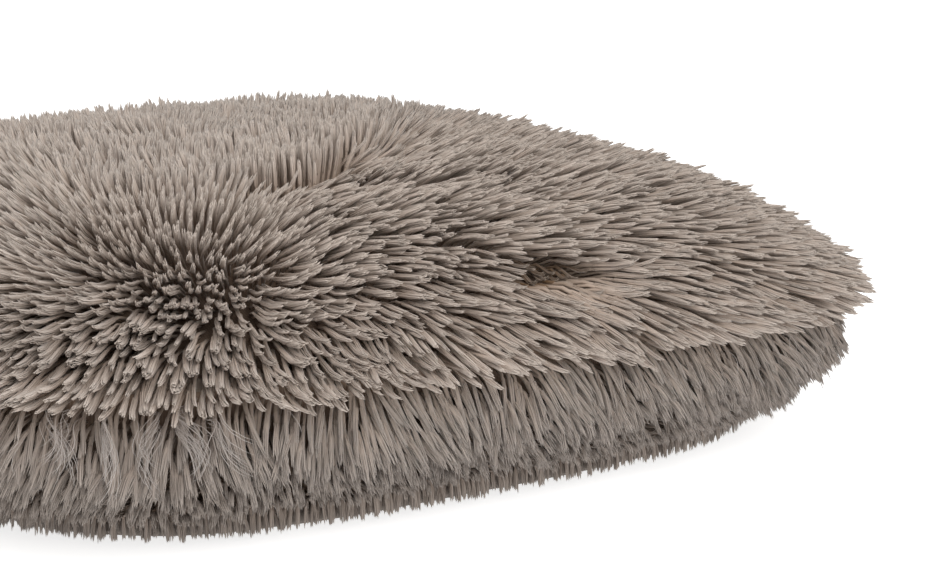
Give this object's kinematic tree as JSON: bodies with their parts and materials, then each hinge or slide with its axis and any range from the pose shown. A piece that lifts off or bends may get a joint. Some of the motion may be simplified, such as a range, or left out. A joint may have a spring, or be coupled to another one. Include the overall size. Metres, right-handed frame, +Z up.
{
  "type": "pet cushion bed",
  "caption": "Square domed pet cushion bed in long-pile faux fur, with a padded non-slip base closed by a zip, round a removable fibre-filled inner cushion.",
  "frame": {"origin": "on the floor under the centre of the cushion", "axes": "+Z up; X along the zip; +Y towards the side the zip is nearer to"},
  "size_m": [0.7, 0.7, 0.186],
  "materials": {
    "plush_top": "long-pile faux fur, soft low sheen",
    "plush_band": "long-pile faux fur, soft low sheen",
    "fur_backing": "matt knit",
    "base_fabric": "matt woven, dotted",
    "zip_tape": "matt woven",
    "zip_coil": "satin",
    "zip_metal": "satin",
    "zip_guard": "matt nonwoven",
    "care_label": "matt satin-woven, blank",
    "ticking": "matt nonwoven",
    "fibre_fill": "loose fibre"
  },
  "bodies": {
    "cover": {"top_plush_panel": "plush_top", "lower_plush_band": "plush_band", "seam_allowance": "fur_backing", "base_panel_front": "base_fabric", "base_panel_rear": "base_fabric", "zip_tape_front": "zip_tape", "zip_tape_rear": "zip_tape", "zip_coil_front": "zip_coil", "zip_coil_rear": "zip_coil", "zip_top_stop": "zip_metal", "zip_bottom_stop": "zip_metal", "zip_guard": "zip_guard", "care_label": "care_label", "insert_ticking_top": "ticking", "insert_ticking_bottom": "ticking", "fibre_fill": "fibre_fill"},
    "zip_slider": {"zip_slider": "zip_metal"},
    "zip_pull": {"zip_pull_tab": "zip_metal"}
  },
  "joints": [
    {"name": "zip_slide", "type": "slide", "parent": "cover", "child": "zip_slider", "axis": [-1, 0, 0], "range_m": [0, 0.348]},
    {"name": "pull_tab_hinge", "type": "hinge", "parent": "zip_slider", "child": "zip_pull", "pos_m": [0.174, 0.13, 0.0023], "axis": [0, -1, 0], "range_deg": [0, 180]}
  ]
}
